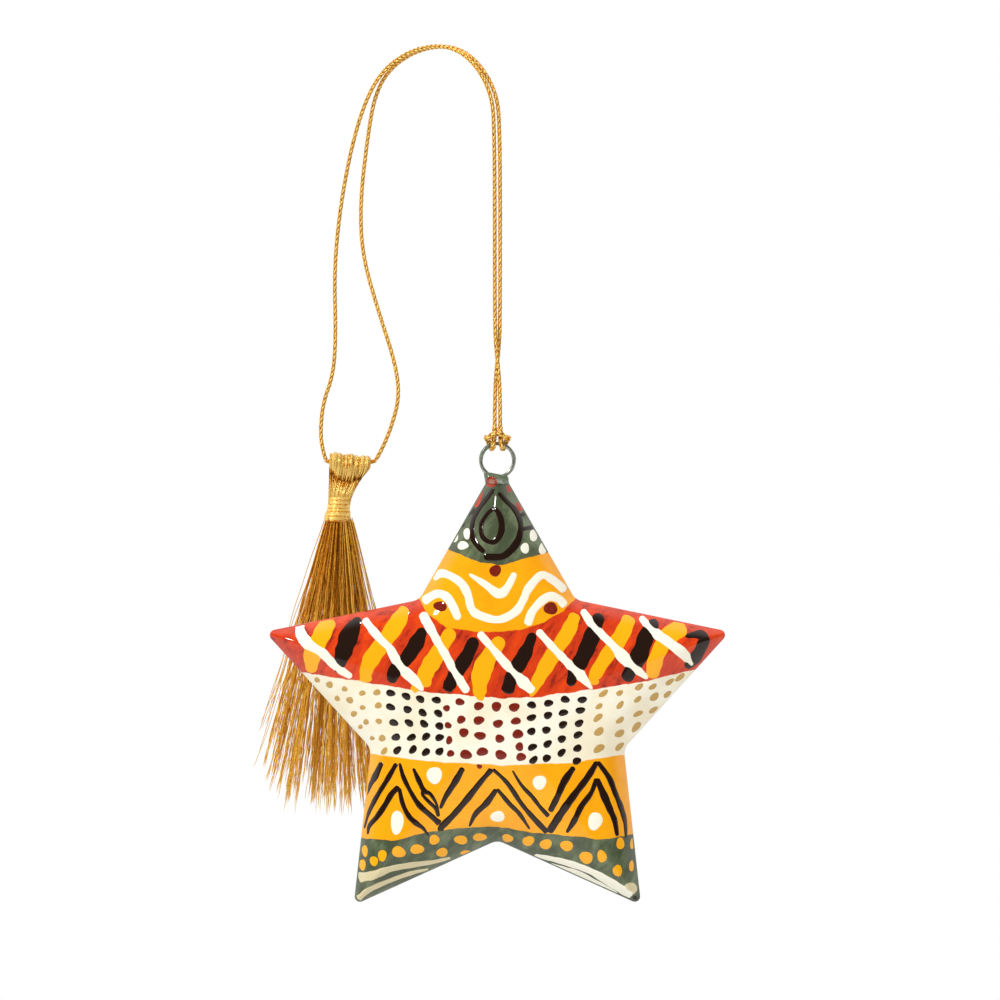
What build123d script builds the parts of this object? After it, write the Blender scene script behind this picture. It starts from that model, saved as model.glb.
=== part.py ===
"""Hanging folk ornament: a pressed tin star on a doubled gold cord with a tassel.

Two domed tin halves are soldered along their rims, a wire ring is soldered on the blunt top point,
a cord loop is hitched on the ring, and a tassel hangs on the other end of the same loop.
The origin is where the cord's bight rests on its support. +Z is up and the star's front faces -Y.
Millimetres.
"""

import os
from math import atan2, ceil, cos, degrees, dist, hypot, pi, radians, sin, sqrt, tan

from build123d import *

os.makedirs("parts", exist_ok=True)

# Star outline, from its centre to the sharp corners
ARM_REACH = 41.4
NOTCH_REACH = 22.5
TIP_ROUND = 0.8
NOTCH_ROUND = 2.6

# Pressed wall of each half: a steep rolled rim that runs into a low crown
WALL = 0.4
RIM_ROLL = 9.0
RIM_SLOPE = 62.0
CROWN_SLOPE = 7.0
SEAM_THICKNESS = 0.6
SEAM_PROUD = 0.12
SEAM_INSIDE = 0.9

# Wire ring and the solder under it
WIRE = 0.68
RING_BORE = 4.95
RING_STANDOFF = 0.8
BLUNT_WIDTH = 3.8
SOLDER_DEPTH = 4.6
SADDLE_WIDTH = 3.4
SADDLE_DEPTH = 1.3
SADDLE_RISE = 1.1

# Cord, its hitch on the ring and where the doubled drop carries the star
CORD = 0.8
STRAND_SPREAD = 0.46
HITCH_HEIGHT = 2.4
HITCH_HALF_WIDTH = 1.65
HITCH_FIT = 0.2
HITCH_PLAY = 0.3
DROP_X = 10.6
DROP_Y = -9.0
PIVOT_Z = -65.5

# Tassel: the fold over the cord, the bound neck and the loose threads
TASSEL_X = -15.0
TASSEL_Y = 11.0
TASSEL_Z = -71.1
FOLD_WIDTH = 6.8
FOLD_DEPTH = 3.2
FOLD_CORNER = 0.3
NECK = 3.5
NECK_SHIFT = -2.0
NECK_TOP = 5.6
NECK_BOTTOM = 9.9
CORD_FIT = 0.15
MOUTH_GAP = 0.7
KNOT = 1.8
KNOT_FIT = 0.2
BINDING_THREAD = 0.42
BINDING_TURNS = 4
BINDING_PITCH = 0.9
BINDING_FIT = 0.12
SKIRT_LOCKS = 90
SKIRT_LENGTH = 50.0
SKIRT_HALF_WIDTH = 14.6
SKIRT_HALF_DEPTH = 6.6
SKIRT_LEAN = -2.6
SKIRT_ROOT = 0.8
LOCK_AT_NECK = 0.21
LOCK_AT_HEM = 1.2

# Routes of the two strands, from the hitch over the bight to the tassel, and of their join through its fold
LEFT_MOUTH = (TASSEL_X - FOLD_WIDTH / 2 - MOUTH_GAP, TASSEL_Y, TASSEL_Z)
RIGHT_MOUTH = (TASSEL_X + FOLD_WIDTH / 2 + MOUTH_GAP, TASSEL_Y, TASSEL_Z)
LEFT_ROUTE = [
    (DROP_X + STRAND_SPREAD, DROP_Y, PIVOT_Z + HITCH_PLAY),
    (DROP_X + STRAND_SPREAD, DROP_Y, -61.0),
    (DROP_X + 0.28, DROP_Y - 0.5, -56.2),
    (DROP_X - 0.28, DROP_Y - 0.5, -51.4),
    (DROP_X - STRAND_SPREAD, DROP_Y, -46.6),
    (DROP_X - STRAND_SPREAD, DROP_Y, -14.0),
    (9.5, -8.9, -8.0),
    (6.5, -6.4, -2.6),
    (2.3, -2.5, 0.4),
    (-3.3, 2.5, 0.4),
    (-8.4, 7.0, -2.2),
    (-11.7, 9.9, -6.6),
    (-14.4, 10.8, -14.4),
    (-16.6, 11.0, -25.5),
    (-17.8, 11.0, -37.0),
    (-17.5, 11.0, -48.5),
    (-17.9, 11.0, -55.5),
    (-19.7, 11.0, -60.5),
    (-20.2, 11.0, -65.4),
    (-19.85, 11.0, -68.6),
    (LEFT_MOUTH[0] - 0.2, TASSEL_Y, TASSEL_Z + 0.67),
]
RIGHT_ROUTE = [
    (DROP_X - STRAND_SPREAD, DROP_Y, PIVOT_Z + HITCH_PLAY),
    (DROP_X - STRAND_SPREAD, DROP_Y, -61.0),
    (DROP_X - 0.28, DROP_Y + 0.5, -56.2),
    (DROP_X + 0.28, DROP_Y + 0.5, -51.4),
    (DROP_X + STRAND_SPREAD, DROP_Y, -46.6),
    (DROP_X + STRAND_SPREAD, DROP_Y, -14.0),
    (10.4, -8.3, -8.0),
    (7.3, -5.7, -2.6),
    (3.1, -1.8, 0.4),
    (-2.5, 3.2, 0.4),
    (-7.6, 7.7, -2.2),
    (-10.6, 10.6, -6.6),
    (-12.0, 11.0, -14.4),
    (-13.3, 11.0, -26.0),
    (-12.9, 11.0, -35.0),
    (-10.0, 11.0, -45.0),
    (-7.2, 11.0, -53.5),
    (-6.4, 11.0, -59.5),
    (-7.9, 11.0, -65.0),
    (-9.6, 11.0, -68.9),
    (RIGHT_MOUTH[0] + 0.36, TASSEL_Y, TASSEL_Z + 0.6),
]
JOIN_ROUTE = [LEFT_ROUTE[-1], LEFT_MOUTH, RIGHT_MOUTH, RIGHT_ROUTE[-1]]


def wide_bends(points):
    """The widest radius that each inner corner of a route has room for."""
    runs = [Vector(*after) - Vector(*before) for before, after in zip(points, points[1:])]
    room = [0.45 * run.length for run in runs]
    room[0] *= 2
    room[-1] *= 2
    bends = []
    for index, (way_in, way_out) in enumerate(zip(runs, runs[1:])):
        turn = radians(way_in.get_angle(way_out))
        bends.append(min(room[index], room[index + 1]) / tan(turn / 2))
    return bends


def tube(name, points, bends, thickness):
    """A round tube along straight runs joined by tangent arcs. It prints its own test."""
    with BuildPart() as body:
        with BuildLine():
            route = FilletPolyline(*points, radius=bends)
        with BuildSketch(Plane(route @ 0, z_dir=route % 0)):
            Circle(thickness / 2)
        sweep()
    plain = pi * thickness**2 / 4 * route.length
    print(f"{name}: {route.length:.1f} mm, tightest bend {min(bends):.2f} mm,")
    print(f"  volume over section times length {body.part.volume / plain:.3f}")
    return body


def least_gap(points, bends, thickness, apart):
    """The least gap between stretches of one tube that lie further apart than a given length of it."""
    with BuildLine():
        route = FilletPolyline(*points, radius=bends)
    count = 500
    spots = [tuple(route @ (index / count)) for index in range(count + 1)]
    skip = ceil(apart / route.length * count)
    pairs = ((spots[i], spots[j]) for i in range(count + 1) for j in range(i + skip, count + 1))
    return min(dist(one, other) for one, other in pairs) - thickness


def finish(body, name):
    """Label a piece and write it under its own name."""
    body.part.label = name
    export_step(body.part, f"parts/{name}.step")


# Heights from the hitch down to the star's centre
wire_top = (DROP_X, DROP_Y, PIVOT_Z - HITCH_HEIGHT)
ring_radius = (RING_BORE + WIRE) / 2
ring_z = wire_top[2] - ring_radius
blunt_z = ring_z - ring_radius - WIRE / 2 - RING_STANDOFF
notch_x = NOTCH_REACH * sin(pi / 5)
notch_y = NOTCH_REACH * cos(pi / 5)
half_angle = atan2(notch_x, ARM_REACH - notch_y)
star_z = blunt_z + BLUNT_WIDTH / 2 / tan(half_angle) - ARM_REACH
star_plane = Plane((DROP_X, DROP_Y, star_z), x_dir=(1, 0, 0), z_dir=(0, -1, 0))
blunt_plane = Plane.XY.offset(blunt_z)

# The rounded notch beside the top arm: its arc's centre, and where that arc meets the arm's straight edge
notch_turn = pi / 2 - half_angle - pi / 5
notch_way = Vector(sin(pi / 5), cos(pi / 5))
notch_centre = notch_way * (NOTCH_REACH + NOTCH_ROUND / cos(notch_turn))
inward = Vector(-cos(half_angle), -sin(half_angle))
edge_end = notch_centre + inward * NOTCH_ROUND
edge_length = hypot(edge_end.X, ARM_REACH - edge_end.Y)
edge_plane = Plane((edge_end.X, edge_end.Y, 0), x_dir=inward, z_dir=(-sin(half_angle), cos(half_angle), 0))

# The crown levels out over the star's centre
roll_reach = RIM_ROLL * (sin(radians(RIM_SLOPE)) - sin(radians(CROWN_SLOPE)))
crown_radius = (notch_centre.length - NOTCH_ROUND - roll_reach) / sin(radians(CROWN_SLOPE))


def wall_section():
    """Section of the pressed wall, inward from the rim and up from the seam's middle."""
    rim_way = (cos(radians(RIM_SLOPE)), sin(radians(RIM_SLOPE)))
    with BuildLine() as section:
        roll = JernArc((0, SEAM_THICKNESS / 2), rim_way, RIM_ROLL, CROWN_SLOPE - RIM_SLOPE)
        crown = JernArc(roll @ 1, roll % 1, crown_radius, -CROWN_SLOPE)
        middle = Line(crown @ 1, (crown @ 1) - Vector(0, WALL))
        under_crown = JernArc(middle @ 1, (-1, 0), crown_radius - WALL, CROWN_SLOPE)
        under_roll = JernArc(under_crown @ 1, under_crown % 1, RIM_ROLL - WALL, RIM_SLOPE - CROWN_SLOPE)
        Line(under_roll @ 1, roll @ 0)
    make_face(section.edges())


def star_outline(inset, mode=Mode.ADD):
    """The star's outline, drawn in from its rim, with rounded points and notches."""
    size = 1 - inset / (ARM_REACH * sin(half_angle))
    corners = []
    for heading in range(90, 450, 72):
        tip = radians(heading)
        notch = radians(heading + 36)
        corners.append((size * ARM_REACH * cos(tip), size * ARM_REACH * sin(tip)))
        corners.append((size * NOTCH_REACH * cos(notch), size * NOTCH_REACH * sin(notch)))
    with BuildLine() as outline:
        FilletPolyline(*corners, radius=[TIP_ROUND, NOTCH_ROUND] * 5, close=True)
    make_face(outline.edges(), mode=mode)


# Half an arm: the wall runs straight along the edge, then turns round the notch's arc
with BuildPart() as half_arm:
    with BuildSketch(edge_plane):
        wall_section()
    extrude(amount=edge_length + TIP_ROUND)
    with BuildSketch(edge_plane):
        wall_section()
    revolve(axis=Axis(notch_centre, (0, 0, 1)), revolution_arc=degrees(notch_turn))
    split(bisect_by=Plane.YZ, keep=Keep.TOP)

with BuildPart() as arm:
    add(half_arm.part)
    mirror(about=Plane.YZ)

with BuildPart(star_plane) as star_front_shell:
    with PolarLocations(0, 5):
        add(arm.part)
    with BuildSketch(star_plane):
        star_outline(0)
    extrude(amount=RIM_ROLL, mode=Mode.INTERSECT)
    split(bisect_by=star_plane.offset(SEAM_THICKNESS / 2), keep=Keep.TOP)
    split(bisect_by=blunt_plane, keep=Keep.BOTTOM)
finish(star_front_shell, "star_front_shell")

with BuildPart() as star_back_shell:
    mirror(star_front_shell.part, about=star_plane)
finish(star_back_shell, "star_back_shell")

with BuildPart() as star_seam_solder:
    with BuildSketch(star_plane):
        star_outline(-SEAM_PROUD)
        star_outline(SEAM_INSIDE, mode=Mode.SUBTRACT)
    extrude(amount=SEAM_THICKNESS / 2, both=True)
    split(bisect_by=blunt_plane, keep=Keep.BOTTOM)
finish(star_seam_solder, "star_seam_solder")

with BuildPart(Plane((DROP_X, DROP_Y, ring_z), z_dir=(0, -1, 0))) as hanging_ring:
    Torus(ring_radius, WIRE / 2)
finish(hanging_ring, "hanging_ring")

# The solder caps the open blunt point and climbs round the ring as a saddle
with BuildPart() as ring_solder:
    with BuildSketch(Plane((DROP_X, DROP_Y, blunt_z))):
        Ellipse(BLUNT_WIDTH / 2, SOLDER_DEPTH / 2)
    with BuildSketch(Plane((DROP_X, DROP_Y, blunt_z + RING_STANDOFF / 2))):
        Ellipse(BLUNT_WIDTH / 2, SOLDER_DEPTH / 3)
    with BuildSketch(Plane((DROP_X, DROP_Y, blunt_z + RING_STANDOFF + SADDLE_RISE))):
        Ellipse(SADDLE_WIDTH / 2, SADDLE_DEPTH / 2)
    loft()
    add(hanging_ring.part, mode=Mode.SUBTRACT)
finish(ring_solder, "ring_solder")

# Lark's head: each leg goes down in front of the wire, under it and up behind, then over to the front bar
wrap = WIRE / 2 + CORD / 2 + HITCH_FIT
leg = [
    (STRAND_SPREAD, 0, HITCH_HEIGHT - HITCH_PLAY),
    (0.55, -0.95 * wrap, 0.8 * wrap),
    (0.75, -0.95 * wrap, -1.15 * wrap),
    (1.1, 0.95 * wrap, -1.25 * wrap),
    (1.45, wrap, 0.75 * wrap),
    (HITCH_HALF_WIDTH + 0.2, 0.37 * wrap, 2.3 * wrap),
    (HITCH_HALF_WIDTH - 0.1, -wrap - 0.64 * CORD, 1.9 * wrap),
]
hitch_route = [(wire_top[0] + x, wire_top[1] + y, wire_top[2] + z) for x, y, z in leg]
hitch_route += [(wire_top[0] - x, wire_top[1] + y, wire_top[2] + z) for x, y, z in reversed(leg)]
cord_hitch = tube("cord_hitch", hitch_route, wide_bends(hitch_route), CORD)
finish(cord_hitch, "cord_hitch")

cord_strand_left = tube("cord_strand_left", LEFT_ROUTE, wide_bends(LEFT_ROUTE), CORD)
finish(cord_strand_left, "cord_strand_left")

cord_strand_right = tube("cord_strand_right", RIGHT_ROUTE, wide_bends(RIGHT_ROUTE), CORD)
finish(cord_strand_right, "cord_strand_right")

# The cord's run through the tassel's fold, with the knot that closes the loop
with BuildPart() as cord_join:
    add(tube("cord_join", JOIN_ROUTE, wide_bends(JOIN_ROUTE), CORD).part)
    with Locations(Plane((TASSEL_X, TASSEL_Y, TASSEL_Z), z_dir=(1, 0, 0)).location):
        Sphere(KNOT / 2)
finish(cord_join, "cord_join")

neck_x = TASSEL_X + NECK_SHIFT
with BuildPart() as tassel_fold:
    with BuildSketch(Plane((neck_x, TASSEL_Y, TASSEL_Z - NECK_TOP))):
        RectangleRounded(NECK, NECK, 0.49 * NECK)
    with BuildSketch(Plane((TASSEL_X, TASSEL_Y, TASSEL_Z))):
        RectangleRounded(FOLD_WIDTH, FOLD_DEPTH, FOLD_CORNER)
    loft(ruled=True)
    with BuildSketch(Plane((neck_x, TASSEL_Y, TASSEL_Z - NECK_TOP))):
        RectangleRounded(NECK, NECK, 0.49 * NECK)
    extrude(amount=NECK_TOP - NECK_BOTTOM)
    with Locations(Plane((TASSEL_X, TASSEL_Y, TASSEL_Z), z_dir=(1, 0, 0)).location):
        Cylinder(FOLD_DEPTH / 2, FOLD_WIDTH)
        Cylinder(CORD / 2 + CORD_FIT, 2 * FOLD_WIDTH, mode=Mode.SUBTRACT)
        Sphere(KNOT / 2 + KNOT_FIT, mode=Mode.SUBTRACT)
finish(tassel_fold, "tassel_fold")

# Thread wound round the neck, four quarter bends to the turn
winding = NECK / 2 + BINDING_FIT + BINDING_THREAD / 2
binding_top = TASSEL_Z - (NECK_TOP + NECK_BOTTOM - BINDING_TURNS * BINDING_PITCH) / 2
binding_route = [(neck_x, TASSEL_Y - winding, binding_top)]
for quarter in range(4 * BINDING_TURNS):
    heading = radians(90 * quarter - 45)
    reach = winding * sqrt(2)
    height = binding_top - BINDING_PITCH * (quarter + 0.5) / 4
    binding_route.append((neck_x + reach * cos(heading), TASSEL_Y + reach * sin(heading), height))
binding_route.append((neck_x, TASSEL_Y - winding, binding_top - BINDING_PITCH * BINDING_TURNS))
binding_bends = [0.9 * winding] * 4 * BINDING_TURNS
tassel_binding = tube("tassel_binding", binding_route, binding_bends, BINDING_THREAD)
binding_gap = least_gap(binding_route, binding_bends, BINDING_THREAD, pi * winding)
print(f"  least gap between turns {binding_gap:.2f} mm")
finish(tassel_binding, "tassel_binding")


def lock(u, v):
    """One lock of threads, from its place across the neck to its place in the fanned hem."""
    root_reach = NECK / 2 - LOCK_AT_NECK
    root = Vector(neck_x + root_reach * u, TASSEL_Y + root_reach * v, skirt_top - SKIRT_ROOT / 2)
    aside = Vector(SKIRT_LEAN + SKIRT_HALF_WIDTH * u, SKIRT_HALF_DEPTH * v)
    hem = Vector(neck_x + aside.X, TASSEL_Y + aside.Y, skirt_top - sqrt(SKIRT_LENGTH**2 - aside.length**2))
    with BuildSketch(Plane(root)) as start:
        Rectangle(LOCK_AT_NECK, LOCK_AT_NECK)
    with BuildSketch(Plane(hem)) as end:
        Rectangle(LOCK_AT_HEM, LOCK_AT_HEM)
    return loft([start.sketch, end.sketch], ruled=True, mode=Mode.PRIVATE)


skirt_top = TASSEL_Z - NECK_BOTTOM
golden_angle = pi * (3 - sqrt(5))
locks = []
for index in range(SKIRT_LOCKS):
    share = sqrt((index + 0.5) / SKIRT_LOCKS)
    locks.append(lock(share * cos(index * golden_angle), share * sin(index * golden_angle)))
with BuildPart() as tassel_skirt:
    with Locations((neck_x, TASSEL_Y, skirt_top - SKIRT_ROOT / 2)):
        Cylinder(NECK / 2, SKIRT_ROOT)
    add(locks)
finish(tassel_skirt, "tassel_skirt")
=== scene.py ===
"""Looks of the hanging star ornament: enamel bands and brushwork, braided gold cord, tassel and studio."""

from math import cos, pi, radians, sin, tan

import bpy
import numpy as np
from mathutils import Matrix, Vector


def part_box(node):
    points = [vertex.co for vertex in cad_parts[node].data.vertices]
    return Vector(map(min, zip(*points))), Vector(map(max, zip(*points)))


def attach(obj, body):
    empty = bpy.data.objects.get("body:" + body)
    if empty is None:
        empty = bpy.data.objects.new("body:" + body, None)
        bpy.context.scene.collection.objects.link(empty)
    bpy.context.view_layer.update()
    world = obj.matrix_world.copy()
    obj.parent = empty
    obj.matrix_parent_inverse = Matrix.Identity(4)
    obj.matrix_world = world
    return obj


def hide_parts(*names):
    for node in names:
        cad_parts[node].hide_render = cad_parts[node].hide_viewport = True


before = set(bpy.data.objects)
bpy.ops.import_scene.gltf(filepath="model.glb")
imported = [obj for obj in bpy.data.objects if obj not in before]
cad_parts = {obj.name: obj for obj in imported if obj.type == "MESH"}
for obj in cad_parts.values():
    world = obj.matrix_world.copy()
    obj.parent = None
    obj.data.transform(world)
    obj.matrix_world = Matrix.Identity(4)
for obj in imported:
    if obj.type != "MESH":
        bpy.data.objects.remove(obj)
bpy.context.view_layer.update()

scene = bpy.context.scene
rng = np.random.default_rng(5)
MM = 0.001

# Star, in millimetres from its centre, as the solids have it
POINT_TO_NOTCH = pi / 5
ARM_REACH = 41.4
NOTCH_REACH = 22.5
TIP_ROUND = 0.8
NOTCH_ROUND = 2.6
RIDGE_ROUND = 0.3
RIM_ROLL = 9.0
RIM_SLOPE = radians(62.0)
CROWN_SLOPE = radians(7.0)
SEAM = 0.6
BLUNT_WIDTH = 3.8

notch_way = np.array([sin(POINT_TO_NOTCH), cos(POINT_TO_NOTCH)])
half_angle = np.arctan2(NOTCH_REACH * notch_way[0], ARM_REACH - NOTCH_REACH * notch_way[1])
notch_turn = pi / 2 - half_angle - POINT_TO_NOTCH
notch_centre = (NOTCH_REACH + NOTCH_ROUND / cos(notch_turn)) * notch_way
edge_way = np.array([sin(half_angle), -cos(half_angle)])
edge_inward = np.array([-cos(half_angle), -sin(half_angle)])
tip = np.array([0.0, ARM_REACH])
edge_length = (notch_centre + edge_inward * NOTCH_ROUND - tip) @ edge_way
roll_reach = RIM_ROLL * (sin(RIM_SLOPE) - sin(CROWN_SLOPE))
roll_rise = RIM_ROLL * (cos(CROWN_SLOPE) - cos(RIM_SLOPE))
crown_reach = np.linalg.norm(notch_centre) - NOTCH_ROUND
crown_radius = (crown_reach - roll_reach) / sin(CROWN_SLOPE)

shell_low, shell_high = (np.array(corner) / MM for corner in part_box("star_front_shell"))
blunt_height = ARM_REACH - BLUNT_WIDTH / 2 / tan(half_angle)
STAR = np.array([(shell_low[0] + shell_high[0]) / 2, shell_high[1] + SEAM / 2, shell_high[2] - blunt_height])

# Photograph frame: its side in pixels, pixels to a millimetre at the star, and the star's centre in it
PHOTO_PX = 1000
PX_PER_MM = 5.88
STAR_PX = np.array([497.4, 707.3])
CAMERA_DISTANCE = 900.0
VIEW_CENTRE = STAR + np.array([PHOTO_PX / 2 - STAR_PX[0], 0, STAR_PX[1] - PHOTO_PX / 2]) / PX_PER_MM

# How far the photographed star's corners lie off the even star's, clockwise from the top, and its reach
UNEVEN_PX = np.array([
    (-4, -2), (-3, -2), (0, -1), (-7, 4), (0, 5), (-6.4, -1), (-9, 2), (-4.6, 2), (5.6, 0), (0, -5),
])
UNEVEN_REACH_PX = 70
UNEVEN_EASE = 0.1
is_notch = np.arange(len(UNEVEN_PX)) % 2
corner_turn = POINT_TO_NOTCH * np.arange(len(UNEVEN_PX))
corner_reach = np.where(is_notch, NOTCH_REACH, ARM_REACH)[:, None]
CORNERS_PX = STAR_PX + PX_PER_MM * corner_reach * np.stack([np.sin(corner_turn), -np.cos(corner_turn)], -1)


# Surfaces: the share of its width that a tube keeps at its ends
END_SHARE = 0.02


def unit(ways):
    """Directions at length one."""
    return ways / np.linalg.norm(ways, axis=-1, keepdims=True)


def smooth_line(spots, count):
    """Steps along a curve through a few spots, a cubic to each span."""
    spots = np.asarray(spots, float)
    padded = np.concatenate([2 * spots[:1] - spots[1:2], spots, 2 * spots[-1:] - spots[-2:-1]])
    at = np.linspace(0, len(spots) - 1, count)
    span = np.minimum(at.astype(int), len(spots) - 2)
    t = (at - span).reshape((-1,) + (1,) * (spots.ndim - 1))
    a, b, c, d = (padded[span + step] for step in range(4))
    return b + 0.5 * t * (c - a + t * (2 * a - 5 * b + 4 * c - d + t * (3 * (b - c) + d - a)))


def full_turn(count):
    """Angles evenly spaced round a full turn."""
    return 2 * pi * np.arange(count) / count


def run_along(line):
    """Distance run along a line of points, at each of them."""
    return np.concatenate([[0], np.cumsum(np.linalg.norm(np.diff(line, axis=0), axis=1))])


def points_at(line, along, at):
    """Points of a line at given distances run along it."""
    return np.stack([np.interp(at, along, axis) for axis in line.T], -1)


def grid_faces(rows, columns, wrap=False, wrap_rows=False):
    """Quads of a grid of points, closed across its columns or rows where it wraps."""
    row = np.arange(rows - (not wrap_rows))[:, None]
    column = np.arange(columns - (not wrap))
    below, beside = (row + 1) % rows, (column + 1) % columns
    corners = [(row, column), (row, beside), (below, beside), (below, column)]
    return np.stack([down * columns + over for down, over in corners], -1).reshape(-1, 4)


def tubes(paths, radius, sides=3, square_to=(0, 1, 0)):
    """Thin tubes along many paths: rings of points square to each, drawn in at both ends."""
    count, steps = paths.shape[:2]
    way = unit(np.gradient(paths, axis=1))
    across = unit(np.cross(way, square_to))
    over = np.cross(across, way)
    turn = full_turn(sides)[:, None]
    radius = np.broadcast_to(radius, (count, steps)).copy()
    radius[:, [0, -1]] *= END_SHARE
    outward = across[:, :, None] * np.cos(turn) + over[:, :, None] * np.sin(turn)
    points = paths[:, :, None] + radius[..., None, None] * outward
    first = (np.arange(count) * steps * sides)[:, None, None]
    faces = first + grid_faces(steps, sides, wrap=True)[:, ::-1]
    return points, faces.reshape(-1, 4)


def add_object(name, data):
    """A new object in the scene."""
    made = bpy.data.objects.new(name, data)
    scene.collection.objects.link(made)
    return made


def mesh_piece(name, points, faces, body, finish, replaces=(), values=None):
    """One smooth piece from points in metres and quads, riding on a body, with values kept per point."""
    mesh = bpy.data.meshes.new(name)
    mesh.from_pydata(points.reshape(-1, 3).tolist(), [], faces.tolist())
    mesh.polygons.foreach_set("use_smooth", np.ones(len(mesh.polygons), bool))
    for key, value in (values or {}).items():
        layer = mesh.attributes.new(key, "FLOAT", "POINT")
        layer.data.foreach_set("value", np.ravel(value).astype(np.float32))
    mesh.materials.append(finish.material)
    mesh.update()
    piece = add_object(name, mesh)
    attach(piece, body)
    if replaces:
        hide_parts(*replaces)
    return piece


# Shaders

class Value:
    """A shader socket whose operators add Math nodes."""

    def __init__(self, nodes, socket):
        self.nodes = nodes
        self.socket = socket

    def math(self, operation, first, second):
        return self.nodes.node("ShaderNodeMath", {"operation": operation}, {0: first, 1: second})

    def __add__(self, other):
        return self.math("ADD", self, other)

    def __mul__(self, other):
        return self.math("MULTIPLY", self, other)

    def __sub__(self, other):
        return self.math("SUBTRACT", self, other)

    def __rsub__(self, other):
        return self.math("SUBTRACT", other, self)

    __radd__ = __add__
    __rmul__ = __mul__


class Nodes:
    """A node tree, whose nodes are made with their settings and inputs in one call."""

    def __init__(self, tree):
        self.tree = tree

    def node(self, kind, settings, inputs, output=0):
        made = self.tree.nodes.new(kind)
        for key, value in settings.items():
            setattr(made, key, value)
        for key, value in inputs.items():
            if isinstance(value, Value):
                self.tree.links.new(value.socket, made.inputs[key])
            else:
                made.inputs[key].default_value = value
        return Value(self, made.outputs[output])

    def step(self, value, low, high, start=0.0, end=1.0):
        """Smooth step of a value from start at low to end at high."""
        inputs = {"Value": value, "From Min": low, "From Max": high, "To Min": start, "To Max": end}
        return self.node("ShaderNodeMapRange", {"interpolation_type": "SMOOTHSTEP"}, inputs)


class Finish(Nodes):
    """A material round one principled shader, with fixed values on the shader's own sockets."""

    def __init__(self, name, **fixed):
        self.material = bpy.data.materials.new(name)
        self.material.use_nodes = True
        super().__init__(self.material.node_tree)
        self.shader = self.tree.nodes["Principled BSDF"]
        for key, value in fixed.items():
            self.shader.inputs[key.replace("_", " ")].default_value = value

    def feed(self, socket, value):
        self.tree.links.new(value.socket, self.shader.inputs[socket])

    def attribute(self, name):
        return self.node("ShaderNodeAttribute", {"attribute_name": name}, {}, "Fac")

    def place(self, stretch=(1, 1, 1), turn=(0, 0, 0)):
        """Object coordinates in millimetres, seen from a turned frame and then stretched along its axes."""
        spot = self.node("ShaderNodeTexCoord", {}, {}, "Object")
        scale = [MM / share for share in stretch]
        inputs = {"Vector": spot, "Rotation": turn, "Scale": scale}
        return self.node("ShaderNodeMapping", {"vector_type": "TEXTURE"}, inputs)

    def noise(self, spot, scale, detail=3.0, rough=0.55):
        inputs = {"Vector": spot, "Scale": scale, "Detail": detail, "Roughness": rough}
        return self.node("ShaderNodeTexNoise", {}, inputs)

    def mix(self, share, first, second):
        """Colour mix, where a plain tuple is a fixed colour."""
        first = first if isinstance(first, Value) else (*first, 1)
        second = second if isinstance(second, Value) else (*second, 1)
        return self.node("ShaderNodeMix", {"data_type": "RGBA"}, {0: share, 6: first, 7: second}, 2)

    def bump(self, height, strength, distance):
        inputs = {"Height": height, "Strength": strength, "Distance": distance}
        self.feed("Normal", self.node("ShaderNodeBump", {}, inputs))


# Paint colours, linear
GREEN = (0.066, 0.083, 0.042)
GREEN_PALE = (0.16, 0.196, 0.106)
ORANGE = (0.965, 0.42, 0.005)
ORANGE_DEEP = (0.94, 0.355, 0.003)
RED = (0.6, 0.04, 0.008)
RED_DARK = (0.26, 0.018, 0.008)
RED_HOT = (0.75, 0.06, 0.006)
RED_THIN = (0.3, 0.13, 0.075)
CREAM = (0.93, 0.89, 0.74)
CREAM_WARM = (0.88, 0.79, 0.58)
# Cream paint darkened to tan as painted shade, for cream strokes on rims that face down.
CREAM_PAINTED_SHADE = (0.68, 0.58, 0.34)
CREAM_PALE_PAINTED_SHADE = (0.66, 0.66, 0.54)
BLACK = (0.016, 0.006, 0.003)
BROWN = (0.05, 0.02, 0.01)
MAROON = (0.19, 0.014, 0.006)
MAROON_THIN = (0.33, 0.04, 0.012)
OCHRE = (0.53, 0.32, 0.085)
OCHRE_DARK = (0.39, 0.205, 0.036)
SAGE = (0.12, 0.155, 0.1)
STEEL = (0.46, 0.46, 0.4)
GOLD = (1.0, 0.71, 0.2)
GOLD_WARM = (1.0, 0.59, 0.085)
GOLD_DEEP = (0.76, 0.27, 0.004)
GOLD_DARK = (0.21, 0.07, 0.002)

# Painted bands: how far the brush strays from a boundary, and how soft the boundary is, in millimetres
BAND_WOBBLE = 0.7
BAND_BLUR = 0.07


def varnished(name):
    """Enamel under gloss varnish, where the varnish alone shines."""
    varnish = {"Coat_Weight": 1.0, "Coat_Roughness": 0.07, "Coat_IOR": 1.5}
    return Finish(name, Roughness=0.5, Specular_IOR_Level=0.0, **varnish)


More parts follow.
